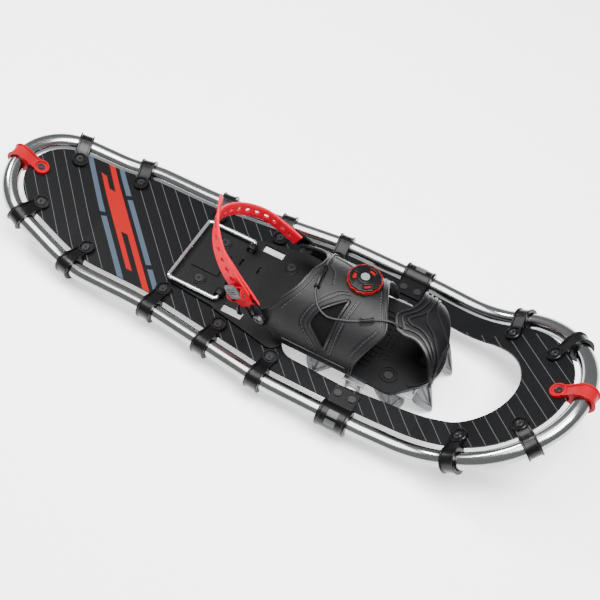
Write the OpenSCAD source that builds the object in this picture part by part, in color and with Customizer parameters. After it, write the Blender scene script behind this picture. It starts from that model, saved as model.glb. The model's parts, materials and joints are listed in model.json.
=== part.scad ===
// Snowshoe with a bent tube frame, a sheet deck, and a hinged boot binding
// closed by a lace dial and a heel strap. The toe points along +Y.

/* [Frame] */
// Outside diameter of the frame tube
tube_d = 17; // [16:0.5:17.5]
// Wall of the frame tube
tube_wall = 1.4; // [1:0.1:2]
// Height of the tube's centre above the ground, set by the crampon teeth
tube_z = 26; // [25:0.5:30]
// Upward tilt of the toe
toe_tilt = 32; // [30:1:35]
// Upward tilt of the tail
tail_tilt = 17; // [12:1:20]

/* [Deck] */
// Thickness of the deck sheet
deck_t = 2; // [1.5:0.1:2.2]
// Distance from the tube's centre line to the deck's edge
deck_gap = 13; // [12:0.5:15]

/* [Binding] */
// Thickness of the wrap around the foot
wrap_t = 3; // [2:0.5:4]
// Diameter of the pivot axle
axle_d = 8; // [7:0.5:8]
// Outside diameter of the lace dial
dial_d = 34; // [30:1:36]

/* [Heel lift] */
// Diameter of the heel lift's wire
bail_d = 4.4; // [4:0.2:5]
// Length of the heel lift's legs
bail_reach = 55; // [50:1:55]

/* [Hidden] */
$fn = 48;
end_gap = 0.4;
CLIPS = 7;

// Corner points of the tube's centre line on the right side, from the tail
// nose to the toe: x, y and the radius of the bend that rounds the corner.
toe_fold = 196.4;
tail_fold = -215.4;
toe_bend = 105;
tail_bend = 100;
right_corners = [
    [47.5, -308, 60],
    [70, tail_fold, tail_bend],
    [76.5, -189, 100],
    [76.5, -113, 300],
    [94.3, 29, 300],
    [94.3, 132, 300],
    [91, toe_fold, toe_bend],
    [88, 266.5, 107],
    [28, 308, 78]];
clip_ys = [-269, -201, -104, -37, 26, 226.5, 284];
clamp_y = 110;

tube_r = tube_d / 2;
bore_r = tube_r - tube_wall;
deck_low = 3;
deck_top = deck_low + deck_t;
clip_bore = tube_r + 0.5;
clip_r = clip_bore + 2.2;
clip_flange_r = clip_r + 1.4;
clip_w = 13;
rivet_in = 23;
rivet_r = 2;
axle_r = axle_d / 2;
axle_z = tube_z - 5;
running_gap = 0.05;
plate_low = tube_z + deck_top;
plate_t = 3;
foot_low = tube_z + 9;
foot_t = 4;
steel_t = 2;

function unit(v) = v / norm(v);
function mirror_x(p) = [-p[0], p[1], p[2]];
function last_of(list) = list[len(list) - 1];
function reversed(list) = [for (i = [len(list) - 1:-1:0]) list[i]];

// Rise of the end planes above the flat middle of the frame
function lift(y) = y > toe_fold ? (y - toe_fold) * tan(toe_tilt)
    : y < tail_fold ? (tail_fold - y) * tan(tail_tilt) : 0;

right_points = [for (c = right_corners) [c[0], c[1], tube_z + lift(c[1])]];
right_radii = [for (c = right_corners) c[2]];
tube_points = concat(right_points, [for (p = reversed(right_points)) mirror_x(p)]);
tube_radii = concat(right_radii, reversed(right_radii));

// A bend rounds corner b between a and c: turn angle, trim, and centre
function turn(a, b, c) = acos(unit(b - a) * unit(c - b));
function trim(a, b, c, r) = r * tan(turn(a, b, c) / 2);
function bend_start(a, b, c, r) = b - unit(b - a) * trim(a, b, c, r);
function bend_end(a, b, c, r) = b + unit(c - b) * trim(a, b, c, r);
function bend_centre(a, b, c, r) =
    b + unit(unit(c - b) - unit(b - a)) * r / cos(turn(a, b, c) / 2);

// Points along one bend
function bend_points(a, b, c, r, steps) =
    let (mid = bend_centre(a, b, c, r), out = unit(bend_start(a, b, c, r) - mid),
         along = unit(b - a), sweep = turn(a, b, c))
    [for (k = [0:steps]) mid + r * (out * cos(sweep * k / steps)
                                    + along * sin(sweep * k / steps))];

// Right half of the centre line as closely spaced points
right_line = [for (i = [0:len(right_points) - 1])
    let (a = i == 0 ? mirror_x(right_points[0]) : right_points[i - 1],
         b = right_points[i],
         c = i == len(right_points) - 1 ? mirror_x(b) : right_points[i + 1])
    each bend_points(a, b, c, right_radii[i], 8)];

function step_at(y) = [for (i = [0:len(right_line) - 2])
    if (right_line[i][1] <= y && y < right_line[i + 1][1]) i][0];
function line_at(y) =
    let (i = step_at(y), a = right_line[i], b = right_line[i + 1])
    a + (b - a) * (y - a[1]) / (b[1] - a[1]);
function tangent_at(y) = let (i = step_at(y)) unit(right_line[i + 1] - right_line[i]);
function level_normal(tangent) = unit([0, -tangent[2], tangent[1]]);
toe_normal = [0, -sin(toe_tilt), cos(toe_tilt)];
tail_normal = [0, sin(tail_tilt), cos(tail_tilt)];

// Places children with x pointing inward over the deck, y along the tube, z up
module on_line(point, tangent, normal) {
    inward = unit(cross(normal, tangent));
    back = -tangent;
    up = cross(inward, back);
    multmatrix([
        [inward[0], back[0], up[0], point[0]],
        [inward[1], back[1], up[1], point[1]],
        [inward[2], back[2], up[2], point[2]],
        [0, 0, 0, 1]]) children();
}

module at_clip(i) {
    y = clip_ys[i];
    on_line(line_at(y), tangent_at(y), level_normal(tangent_at(y))) children();
}

module at_tail() {
    on_line([0, right_points[0][1], right_points[0][2]], [1, 0, 0], tail_normal)
        children();
}

module at_toe() {
    on_line([0, last_of(right_points)[1], last_of(right_points)[2]], [-1, 0, 0],
            toe_normal) children();
}

module at_all_clips() {
    for (i = [0:CLIPS - 1]) {
        at_clip(i) children();
        mirror([1, 0, 0]) at_clip(i) children();
    }
    at_tail() children();
    at_toe() children();
}

// Sweeps a 2D section along a line of straights and round bends. The pieces
// stop just short of each other and a thin collar joins their ends.
nip = 0.1;
collar_t = 1.2;
collar_lip = 0.15;
module straight_run(a, b) {
    along = unit(b - a);
    side = unit(cross(abs(along[2]) < 0.9 ? [0, 0, 1] : [1, 0, 0], along));
    up = cross(along, side);
    multmatrix([
        [side[0], up[0], along[0], a[0]],
        [side[1], up[1], along[1], a[1]],
        [side[2], up[2], along[2], a[2]],
        [0, 0, 0, 1]]) linear_extrude(norm(b - a)) children();
}

module bend_run(a, b, c, r) {
    mid = bend_centre(a, b, c, r);
    out = unit(bend_start(a, b, c, r) - mid);
    along = unit(b - a);
    axis = cross(out, along);
    nip_angle = nip / r * 180 / PI;
    multmatrix([
        [out[0], along[0], axis[0], mid[0]],
        [out[1], along[1], axis[1], mid[1]],
        [out[2], along[2], axis[2], mid[2]],
        [0, 0, 0, 1]]) rotate([0, 0, nip_angle])
        rotate_extrude(angle = turn(a, b, c) - 2 * nip_angle, $fn = 180)
        translate([r, 0]) children();
}

// Child 0 is the section and child 1 the collar's section
module run_between(a, b, first, last) {
    along = unit(b - a);
    straight_run(a + along * (first ? 0 : nip), b - along * (last ? 0 : nip)) children(0);
    if (!first) straight_run(a - along * collar_t / 2, a + along * collar_t / 2) children(1);
    if (!last) straight_run(b - along * collar_t / 2, b + along * collar_t / 2) children(1);
}

module closed_run(points, radii) {
    n = len(points);
    for (i = [0:n - 1]) {
        a = points[(i + n - 1) % n];
        b = points[i];
        c = points[(i + 1) % n];
        d = points[(i + 2) % n];
        bend_run(a, b, c, radii[i]) children(0);
        run_between(bend_end(a, b, c, radii[i]),
                    bend_start(b, c, d, radii[(i + 1) % n]), false, false) {
            children(0);
            children(1);
        }
    }
}

// An open run keeps its first and last points and rounds those between
module open_run(points, radius, section_r) {
    n = len(points);
    for (i = [1:n - 2])
        bend_run(points[i - 1], points[i], points[i + 1], radius) circle(section_r);
    for (i = [0:n - 2])
        run_between(
            i == 0 ? points[0]
                : bend_end(points[i - 1], points[i], points[i + 1], radius),
            i == n - 2 ? points[n - 1]
                : bend_start(points[i], points[i + 1], points[i + 2], radius),
            i == 0, i == n - 2) {
            circle(section_r);
            circle(section_r + collar_lip);
        }
}

module ring(outer, inner) {
    difference() {
        circle(outer);
        circle(inner);
    }
}

module frame_tube() {
    color([0.62, 0.64, 0.64]) closed_run(tube_points, tube_radii) {
        ring(tube_r, bore_r);
        ring(tube_r + collar_lip, bore_r - collar_lip);
    }
}

// The tube's ends meet inside the left pivot clamp, over this sleeve
module splice_sleeve() {
    color("silver") translate([-94.3, clamp_y - 22, tube_z]) rotate([-90, 0, 0])
        difference() {
            cylinder(h = 44, r = bore_r - 0.05);
            translate([0, 0, -1]) cylinder(h = 46, r = bore_r - 1.6);
        }
}

// Deck edge in plan, parallel to the tube
function plan_inward(i) =
    let (a = right_line[max(i - 1, 0)], b = right_line[min(i + 1, len(right_line) - 1)],
         t = unit([b[0] - a[0], b[1] - a[1]])) [-t[1], t[0]];
right_edge = [for (i = [0:len(right_line) - 1])
    let (n = plan_inward(i), x = right_line[i][0] + deck_gap * n[0])
        if (x > 1) [x, right_line[i][1] + deck_gap * n[1]]];
deck_edge = concat(right_edge, [for (p = reversed(right_edge)) [-p[0], p[1]]]);

function arc(cx, cy, r, from, to, steps) =
    [for (k = [0:steps]) let (a = from + (to - from) * k / steps)
        [cx + r * cos(a), cy + r * sin(a)]];

// Egg-shaped opening that the toe swings through
right_egg = concat(arc(42, 46, 18, -90, 0, 8), arc(10, 100, 52, 0, 8, 2),
                   arc(0, 198, 52, 12, 90, 16));
egg = concat(right_egg, [for (p = reversed(right_egg)) if (p[0] > 1) [-p[0], p[1]]]);

// Side line of the sheet at a height above the tube's centre, as y and z
function end_fold(fold, tilt, radius, height) =
    let (from = fold - radius * tan(tilt / 2), r = radius - height, run = 120)
    concat([for (k = [0:8]) let (a = tilt * k / 8)
                [from + r * sin(a), tube_z + radius - r * cos(a)]],
           [[from + r * sin(tilt) + run * cos(tilt),
             tube_z + radius - r * cos(tilt) + run * sin(tilt)]]);
function side_line(height) = concat(
    [for (p = reversed(end_fold(-tail_fold, tail_tilt, tail_bend, height))) [-p[0], p[1]]],
    end_fold(toe_fold, toe_tilt, toe_bend, height));
module deck_sheet() {
    translate([-110, 0, 0]) rotate([90, 0, 90]) linear_extrude(220)
        polygon(concat(side_line(deck_low), reversed(side_line(deck_top))));
}

vent_x = 43;
vent_y = -30;
module heel_vents(grow) {
    for (side = [-1, 1])
        translate([side * vent_x, vent_y, 0])
            linear_extrude(60) square([11 + grow, 24 + grow], center = true);
}

clamp_rivet_x = 72.8;
clamp_rivet_dy = 7.5;
module at_clamp_rivets() {
    for (side = [-1, 1], dy = [-1, 1])
        translate([side * clamp_rivet_x, clamp_y + dy * clamp_rivet_dy, tube_z])
            children();
}

heel_bolt_rows = [[26, -78], [33, -5]];
module at_heel_bolts() {
    for (row = heel_bolt_rows, side = [-1, 1])
        translate([side * row[0], row[1], tube_z]) children();
}

module deck() {
    color([0.13, 0.13, 0.14]) difference() {
        intersection() {
            deck_sheet();
            linear_extrude(160) polygon(deck_edge);
        }
        linear_extrude(160) polygon(egg);
        heel_vents(0);
        at_all_clips() translate([rivet_in, 0, 0]) cylinder(h = 10, r = rivet_r + 0.1);
        at_clamp_rivets() cylinder(h = 10, r = rivet_r + 0.1);
        at_heel_bolts() cylinder(h = 10, r = 2.6);
    }
}

// Moulded clip: a flanged ring round the tube, with one arm above and one
// below the deck, and a boss with a sunk rivet seat
arm_t = 2.4;
boss_r = 7.5;
boss_h = 4.4;
module clip() {
    arm_w = 9.5;
    difference() {
        union() {
            rotate([90, 0, 0]) {
                translate([0, 0, -clip_w / 2]) cylinder(h = clip_w, r = clip_r);
                for (z = [-clip_w / 2, clip_w / 2 - 2.2])
                    translate([0, 0, z]) cylinder(h = 2.2, r = clip_flange_r);
            }
            translate([4, -arm_w / 2, deck_top + 0.05])
                cube([rivet_in - 4, arm_w, arm_t]);
            translate([4, -arm_w / 2, deck_low - 0.05 - arm_t])
                cube([rivet_in - 4, arm_w, arm_t]);
            translate([rivet_in, 0, deck_top + 0.05]) cylinder(h = boss_h, r = boss_r);
            translate([rivet_in, 0, deck_low - 0.05 - arm_t])
                cylinder(h = arm_t, r = boss_r - 1);
        }
        rotate([90, 0, 0]) translate([0, 0, -clip_w]) cylinder(h = 2 * clip_w, r = clip_bore);
        translate([rivet_in, 0, -10]) cylinder(h = 30, r = rivet_r + 0.1);
        translate([rivet_in, 0, deck_top + 2]) cylinder(h = 10, r = 4.6);
    }
}

module black_clip(i) { color([0.1, 0.1, 0.1]) at_clip(i) clip(); }
module tail_clip() { color([0.85, 0.13, 0.2]) at_tail() clip(); }
module toe_clip() { color([0.85, 0.13, 0.2]) at_toe() clip(); }

rivet_seat = deck_top + 2.05;
washer_top = deck_low - 0.1 - arm_t;
module clip_rivet() {
    difference() {
        union() {
            translate([0, 0, washer_top - 2]) cylinder(h = rivet_seat - washer_top + 2.1,
                                                       r = rivet_r);
            translate([0, 0, rivet_seat]) cylinder(h = 1.1, r = 3.6);
            translate([0, 0, washer_top - 2.1]) cylinder(h = 1, r = 3);
        }
        translate([0, 0, -10]) cylinder(h = 30, r = 1.1);
    }
}

module clip_rivets() {
    color("dimgray") at_all_clips() translate([rivet_in, 0, 0]) clip_rivet();
}

module clip_washers() {
    color("silver") at_all_clips() translate([rivet_in, 0, washer_top - 1])
        difference() {
            cylinder(h = 1, r = 5);
            translate([0, 0, -1]) cylinder(h = 3, r = rivet_r + 0.1);
        }
}

// Pivot clamp: a sleeve round the tube, an arm over the deck strip and a
// bearing block below it that holds the axle's end
clamp_sleeve_r = clip_bore + 2.8;
clamp_len = 30;
block_in = 63;
module pivot_clamp() {
    sleeve_x = 94.3;
    color([0.1, 0.1, 0.1]) difference() {
        union() {
            translate([sleeve_x, clamp_y - clamp_len / 2, tube_z]) rotate([-90, 0, 0])
                cylinder(h = clamp_len, r = clamp_sleeve_r);
            translate([65, clamp_y - 13, tube_z + deck_top + 0.05])
                cube([sleeve_x - 65, 26, 2.6]);
            translate([block_in, clamp_y - 11, tube_z - 11])
                cube([sleeve_x - block_in, 22, 10.9 + deck_low]);
        }
        translate([sleeve_x, clamp_y - 40, tube_z]) rotate([-90, 0, 0])
            cylinder(h = 80, r = clip_bore);
        translate([block_in - 1, clamp_y, axle_z]) rotate([0, 90, 0])
            cylinder(h = 20, r = axle_r + running_gap);
        at_clamp_rivets() {
            translate([0, 0, -20]) cylinder(h = 40, r = rivet_r + 0.1);
            translate([0, 0, -12]) cylinder(h = 13, r = 3.8);
        }
    }
}

module clamp_rivets() {
    color("dimgray") at_clamp_rivets() {
        cylinder(h = deck_top + 3.6, r = rivet_r);
        translate([0, 0, deck_top + 2.65]) cylinder(h = 1.3, r = 3.7);
        translate([0, 0, 0]) cylinder(h = 0.95, r = 3.6);
    }
}

module pivot_axle() {
    half = 81;
    color("silver") translate([-half, clamp_y, axle_z]) rotate([0, 90, 0])
        cylinder(h = 2 * half, r = axle_r);
}

ear_x = 54;
module pivot_bushes() {
    color([0.85, 0.85, 0.8]) for (side = [-1, 1])
        translate([side * (ear_x + steel_t + block_in) / 2, clamp_y, axle_z])
            rotate([0, 90, 0]) difference() {
                cylinder(h = block_in - ear_x - steel_t - 2 * end_gap, r = 6,
                         center = true);
                cylinder(h = 20, r = axle_r + running_gap, center = true);
            }
}

// Heel plate, with two lugs that carry the heel lift's wire
lug_x = 32.7;
bail_y = -50;
bail_r = bail_d / 2;
bail_z = plate_low + plate_t + bail_r + 1.2;
heel_outline = concat(arc(50, 18, 12, 0, 90, 6), arc(-50, 18, 12, 90, 180, 6),
                      arc(-38, -44, 12, 180, 215, 3), arc(-36, -95, 8, 200, 270, 4),
                      arc(36, -95, 8, 270, 340, 4), arc(38, -44, 12, 325, 360, 3));
module heel_plate() {
    color([0.16, 0.16, 0.17]) difference() {
        union() {
            translate([0, 0, plate_low + 0.05]) linear_extrude(plate_t)
                polygon(heel_outline);
            at_heel_bolts() translate([0, 0, deck_top + 0.05])
                cylinder(h = plate_t + 1.4, r = 7);
            translate([-15, -94, plate_low + 1]) cube([30, 30, plate_t + 1]);
            for (side = [-1, 1])
                translate([side * lug_x, bail_y, plate_low + 1]) {
                    translate([-3.7, -5, 0]) cube([7.4, 10, bail_z - plate_low - 1]);
                    translate([-3.7, 0, bail_z - plate_low - 1]) rotate([0, 90, 0])
                        cylinder(h = 7.4, r = 5);
                }
        }
        heel_vents(-1);
        at_heel_bolts() {
            cylinder(h = 20, r = 2.6);
            translate([0, 0, deck_top + 2.5]) cylinder(h = 20, r = 5);
        }
        for (side = [-1, 1])
            translate([side * lug_x, bail_y, bail_z]) rotate([0, 90, 0])
                cylinder(h = 20, r = bail_r + running_gap, center = true);
        for (x = [-14, 14], y = [-32, -52])
            translate([x, y, plate_low]) cube([9, 2.4, 20], center = true);
    }
}

// Heel crampon: a plate below the deck and two toothed rails
module toothed_rail(length, teeth, height) {
    pitch = length / teeth;
    points = concat([[0, height], [0, height * 0.55]],
        [for (i = [0:teeth - 1]) each [[pitch * (i + 0.36), 0],
                                       [pitch * (i + 0.64), 0],
                                       [pitch * (i + 1), height * 0.55]]],
        [[length, height]]);
    rotate([90, 0, 90]) linear_extrude(steel_t) polygon(points);
}

module heel_crampon() {
    top = tube_z + deck_low - 0.05;
    color([0.7, 0.71, 0.72]) difference() {
        union() {
            translate([-42, -90, top - steel_t]) cube([84, 98, steel_t]);
            for (x = [-42, 40])
                translate([x, -90, 0]) toothed_rail(98, 4, top - steel_t / 2);
        }
        translate([0, -42, 0]) cylinder(h = 60, r = 20);
        at_heel_bolts() translate([0, 0, -10]) cylinder(h = 30, r = 2.6);
        heel_vents(3);
    }
}

module heel_bolts() {
    color("dimgray") at_heel_bolts() difference() {
        union() {
            translate([0, 0, -6]) cylinder(h = deck_top + 8.8, r = 2.5);
            translate([0, 0, deck_top + 2.55]) cylinder(h = 2.3, r = 4.6);
        }
        translate([0, 0, deck_top + 3.6]) cylinder(h = 5, r = 1.7, $fn = 6);
    }
}

module heel_nuts() {
    color("silver") at_heel_bolts() translate([0, 0, deck_low - steel_t - 4.2])
        difference() {
            cylinder(h = 4, r = 4.6, $fn = 6);
            translate([0, 0, -1]) cylinder(h = 6, r = 2.55);
        }
}

// Wire heel lift, lying flat towards the tail
bail_x = 41;
module heel_bail() {
    rear = bail_y - bail_reach;
    color([0.85, 0.85, 0.86]) open_run([
        [lug_x - 3.5, bail_y, bail_z], [bail_x, bail_y, bail_z],
        [bail_x, rear, bail_z], [-bail_x, rear, bail_z],
        [-bail_x, bail_y, bail_z], [-lug_x + 3.5, bail_y, bail_z]], 3.9, bail_r);
}

// Toe crampon: plate below the foot, side flanges with teeth, a sloping
// front with two teeth, and two ears on the axle
flange_x = 42;
crampon_top = foot_low - 0.05;
side_teeth = [
    [56, 6], [56, -4], [61, -tube_z], [66, -tube_z], [76, -6], [88, 1], [128, 1],
    [136, -8], [142.5, -tube_z], [147.5, -tube_z], [156, -6], [160, 7.5],
    [60, 7.5]];
module side_flange(x) {
    translate([x, 0, tube_z]) rotate([90, 0, 90]) linear_extrude(steel_t)
        polygon(side_teeth);
}

module toe_crampon() {
    color([0.7, 0.71, 0.72]) difference() {
        union() {
            translate([-flange_x - steel_t, 58, crampon_top - steel_t])
                cube([2 * (flange_x + steel_t), 108, steel_t]);
            side_flange(flange_x);
            side_flange(-flange_x - steel_t);
            for (side = [-1, 1]) {
                translate([side * (ear_x + steel_t) / 2, clamp_y, crampon_top - steel_t / 2])
                    cube([ear_x + steel_t, 22, steel_t], center = true);
                translate([side * (ear_x + steel_t / 2), clamp_y, 0])
                    rotate([0, 90, 0]) translate([-axle_z, 0, 0])
                    cylinder(h = steel_t, r = 8, center = true);
                translate([side * (ear_x + steel_t / 2), clamp_y,
                           (axle_z + crampon_top) / 2])
                    cube([steel_t, 16, crampon_top - axle_z], center = true);
            }
            front_plate();
        }
        rotate([0, 90, 0]) translate([-axle_z, clamp_y, -80])
            cylinder(h = 160, r = axle_r + running_gap);
        at_foot_rivets() translate([0, 0, -20]) cylinder(h = 40, r = rivet_r + 0.1);
    }
}

// Two pointed teeth on a plate that slopes down and forward
module front_plate() {
    slope = 30;
    reach = (crampon_top - 1) / cos(slope);
    outline = [
        [38, 0], [40, 8], [36, 18], [26, reach], [22, reach], [11, 16], [6, 12],
        [-6, 12], [-11, 16], [-22, reach], [-26, reach], [-36, 18], [-40, 8],
        [-38, 0]];
    translate([0, 164, crampon_top - 1]) rotate([slope - 90, 0, 0])
        translate([0, 0, -steel_t / 2]) linear_extrude(steel_t) polygon(outline);
}

foot_rivets = [[33, 136], [-33, 136], [0, 158], [33, 80], [-33, 80]];
module at_foot_rivets() {
    for (p = foot_rivets) translate([p[0], p[1], foot_low]) children();
}

foot_outline = concat(arc(37, 140, 15, 0, 45, 4), arc(0, 132, 46, 50, 130, 10),
                      arc(-37, 140, 15, 135, 180, 4), arc(-36, 46, 12, 180, 270, 5),
                      arc(36, 46, 12, 270, 360, 5));
module foot_plate() {
    color([0.12, 0.12, 0.12]) difference() {
        translate([0, 0, foot_low]) linear_extrude(foot_t) polygon(foot_outline);
        at_foot_rivets() {
            translate([0, 0, -20]) cylinder(h = 40, r = rivet_r + 0.1);
            translate([0, 0, 2.4]) cylinder(h = 10, r = 5.5);
        }
        for (x = [-20:5:20], y = [100:5:125])
            translate([x, y, foot_low + foot_t - 1]) cylinder(h = 3, r = 1.1);
        for (x = [-24:6:24])
            translate([x, 62, foot_low + foot_t - 1]) cube([2.4, 26, 3], center = true);
    }
}

module foot_plate_rivets() {
    color("dimgray") at_foot_rivets() {
        translate([0, 0, -3.4]) cylinder(h = 6, r = rivet_r);
        translate([0, 0, 2.45]) cylinder(h = 1.3, r = 4.4);
        translate([0, 0, -3.9]) cylinder(h = 1.2, r = 3.4);
    }
}

// Surface of the wrap: an arch over the foot, from angle 0 on the right
wrap_half_w = 54;
wrap_h = 56;
wrap_base = foot_low + foot_t + 0.1;
wrap_rear = [[0, 16], [45, 27], [90, 32], [135, 27], [180, 16]];
wrap_front = [[0, 104], [25, 106], [64, 122], [90, 116], [123, 98], [180, 106]];
wrap_at = function(angle, along, inset) [
    (wrap_half_w - inset) * cos(angle),
    lookup(angle, wrap_rear) * (1 - along) + lookup(angle, wrap_front) * along,
    wrap_base + (wrap_h - inset) * sin(angle)];
function wrap_z(x) = wrap_base + wrap_h * sqrt(1 - pow(x / wrap_half_w, 2));

// Surface of the toe cup: a blunt half dome over the toes
cup_half_w = 53;
cup_h = 48;
cup_rear = 128;
cup_reach = 54;
cup_at = function(angle, along, inset)
    let (shrink = pow(1 - pow(along, 4), 0.25))
    [(cup_half_w - inset) * cos(angle) * shrink,
     cup_rear + (cup_reach - inset) * along,
     wrap_base + (cup_h - inset) * sin(angle) * shrink];

// Closed sheet of a given thickness between two parallel surfaces
module thick_sheet(point_at, angles, spans, thickness) {
    na = len(angles);
    nt = len(spans);
    half = na * nt;
    points = [for (inset = [0, thickness], t = spans, a = angles) point_at(a, t, inset)];
    faces = concat(
        [for (j = [0:nt - 2], i = [0:na - 2]) let (k = j * na + i)
            each [[k, k + 1, k + na + 1], [k, k + na + 1, k + na],
                  [half + k, half + k + na + 1, half + k + 1],
                  [half + k, half + k + na, half + k + na + 1]]],
        [for (i = [0:na - 2]) let (k = (nt - 1) * na + i)
            each [[i, half + i, half + i + 1], [i, half + i + 1, i + 1],
                  [k, k + 1, half + k + 1], [k, half + k + 1, half + k]]],
        [for (j = [0:nt - 2]) let (k = j * na, m = k + na - 1)
            each [[k, k + na, half + k + na], [k, half + k + na, half + k],
                  [m, half + m, half + m + na], [m, half + m + na, m + na]]]);
    polyhedron(points, faces);
}

// Anchor wings reach back from the wrap to the strap's pivots
anchor_y = 4;
anchor_z = tube_z + 31;
wing_x = 46.6;
wing_t = 3;
eyelet_r = 3;
module wing(side) {
    translate([side * (wing_x + wing_t / 2), anchor_y, anchor_z]) rotate([0, 90, 0])
        cylinder(h = wing_t, r = 9, center = true);
    translate([side * (wing_x + wing_t / 2), anchor_y + 17, anchor_z - 4])
        cube([wing_t, 34, 17], center = true);
}

dial_x = -13;
dial_y = 80;
dial_z = tube_z + 67;
base_r = dial_d / 2 - 1;
module harness_wrap() {
    color([0.17, 0.17, 0.17]) difference() {
        union() {
            thick_sheet(wrap_at, [for (k = [0:24]) 7.5 * k], [for (k = [0:8]) k / 8], wrap_t);
            for (side = [-1, 1]) wing(side);
        }
        translate([dial_x, dial_y, dial_z - 12]) cylinder(h = 30, r = base_r + 0.05);
        for (side = [-1, 1])
            translate([side * wing_x, anchor_y, anchor_z]) rotate([0, 90, 0])
                cylinder(h = 20, r = eyelet_r + running_gap, center = true);
    }
}

// Two rivets hold the far side of the cup to a tongue of the foot plate
toe_rivets = [[-46, 139], [-46, 151]];
module at_toe_rivets() {
    for (p = toe_rivets)
        translate([-53.6, p[1], wrap_base + 9]) rotate([0, 90, 0]) children();
}

module toe_cup() {
    color([0.12, 0.12, 0.12]) difference() {
        union() {
            thick_sheet(cup_at, [for (k = [0:12]) 72 + 9 * k],
                        [0, 0.25, 0.5, 0.7, 0.84, 0.93, 0.98], 4);
            difference() {
                intersection() {
                    translate([0, 125, wrap_base]) cylinder(h = 24, r = 56.5);
                    translate([-30, cup_rear + 20, 0]) cube([44, 60, 200]);
                }
                translate([0, 125, 0]) cylinder(h = 200, r = 52.5);
            }
        }
        at_toe_rivets() cylinder(h = 10, r = 1.6);
    }
}

module toe_cup_rivets() {
    color("dimgray") at_toe_rivets() {
        cylinder(h = 1.2, r = 3);
        cylinder(h = 6.6, r = 1.5);
    }
}

// Lace from a far anchor over the wrap, through two guides, to the toe cup
lace_r = 0.8;
lace_lift = 4.6;
lace_plan = [[-47, 36], [-38, 37], [-26, 38.5], [-13, 40], [17, 44], [30, 54], [34, 68],
             [31, 82], [27, 94], [20, 108], [15.5, 121]];
function on_wrap(p, rise) = [p[0], p[1], wrap_z(p[0]) + rise];
lace_line = concat([for (p = lace_plan) on_wrap(p, lace_lift)],
                   [[10, 132, wrap_base + cup_h]]);
module lace() {
    n = len(lace_line);
    color("dimgray") {
        for (i = [0:n - 2]) straight_run(lace_line[i], lace_line[i + 1]) circle(lace_r);
        for (i = [1:n - 2]) translate(lace_line[i]) sphere(lace_r + 0.15);
    }
}

// Guide tubes hold the lace where it turns
module guide(a, b) {
    straight_run(a, b) ring(2.2, lace_r + 0.1);
}

module lace_guides() {
    shift = unit(lace_line[4] - lace_line[3]) * 4;
    shift_front = unit(lace_line[9] - lace_line[8]) * 4;
    color([0.1, 0.1, 0.1]) {
        guide(lace_line[3] + shift, lace_line[4] - shift);
        guide(lace_line[8] + shift_front, lace_line[9] - shift_front);
    }
}

// Lace dial: a fixed base, a spool below, a shaft that lifts to release,
// and a knob that turns round the shaft
module at_dial() { translate([dial_x, dial_y, dial_z]) children(); }
shaft_r = 3;
module dial_base() {
    color([0.08, 0.08, 0.08]) at_dial() difference() {
        union() {
            translate([0, 0, -5.5]) cylinder(h = 7, r = base_r);
            translate([0, 0, 1.5]) cylinder(h = 1, r = base_r - 4);
        }
        translate([0, 0, -4]) cylinder(h = 4.5, r = 10);
        translate([0, 0, -8]) cylinder(h = 20, r = shaft_r + running_gap);
    }
}

module dial_spool() {
    color("silver") at_dial() difference() {
        translate([0, 0, -3.6]) cylinder(h = 3.7, r = 9.5);
        translate([0, 0, -2.8]) rotate_extrude() translate([9.5, 1]) circle(1.1);
        translate([0, 0, -5]) cylinder(h = 8, r = shaft_r + running_gap);
    }
}

module dial_shaft() {
    color("silver") at_dial() {
        translate([0, 0, -5]) cylinder(h = 14.5, r = shaft_r);
        translate([0, 0, 9.5]) cylinder(h = 1, r = 4.4);
    }
}

module dial_knob() {
    color([0.06, 0.06, 0.06]) at_dial() difference() {
        union() {
            translate([0, 0, 3]) cylinder(h = 5.4, r = dial_d / 2 - 3);
            translate([0, 0, 8.4]) cylinder(h = 0.8, r = dial_d / 2 - 4.5);
        }
        cylinder(h = 20, r = shaft_r + running_gap);
        for (a = [30, 150, 270])
            rotate([0, 0, a]) translate([9.3, 0, 7.6]) cylinder(h = 3, r = 1.9);
    }
}

module dial_grip_ring() {
    color([0.75, 0.15, 0.15]) at_dial() difference() {
        translate([0, 0, 2.8]) cylinder(h = 6.6, r = dial_d / 2);
        cylinder(h = 20, r = dial_d / 2 - 3);
        for (a = [0:30:330])
            rotate([0, 0, a]) translate([dial_d / 2 + 1.2, 0, 0]) cylinder(h = 20, r = 2);
    }
}

module dial_hub() {
    color("silver") at_dial() translate([0, 0, 9.25]) difference() {
        cylinder(h = 0.9, r = 7);
        translate([0, 0, -1]) cylinder(h = 3, r = 4.6);
    }
}

// Eyelets that the strap's tabs swing on
tab_x = wing_x + wing_t + 0.3;
tab_t = 2.4;
module anchor_eyelets() {
    color("silver") for (side = [-1, 1])
        translate([side * (wing_x - 1.2), anchor_y, anchor_z]) rotate([0, side * 90, 0])
            difference() {
                union() {
                    cylinder(h = 9.2, r = eyelet_r);
                    cylinder(h = 1, r = 5.5);
                    translate([0, 0, tab_x - wing_x + tab_t + 1.4])
                        cylinder(h = 1.2, r = 5.5);
                }
                translate([0, 0, -1]) cylinder(h = 20, r = 1.6);
            }
}

// The right tab rises steeply to the buckle; the left one follows the strap
right_rise = 55;
left_rise = 20;
module along_strap(side, rise) {
    translate([side * tab_x, anchor_y, anchor_z]) rotate([90 - rise, 0, 0]) children();
}

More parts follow.
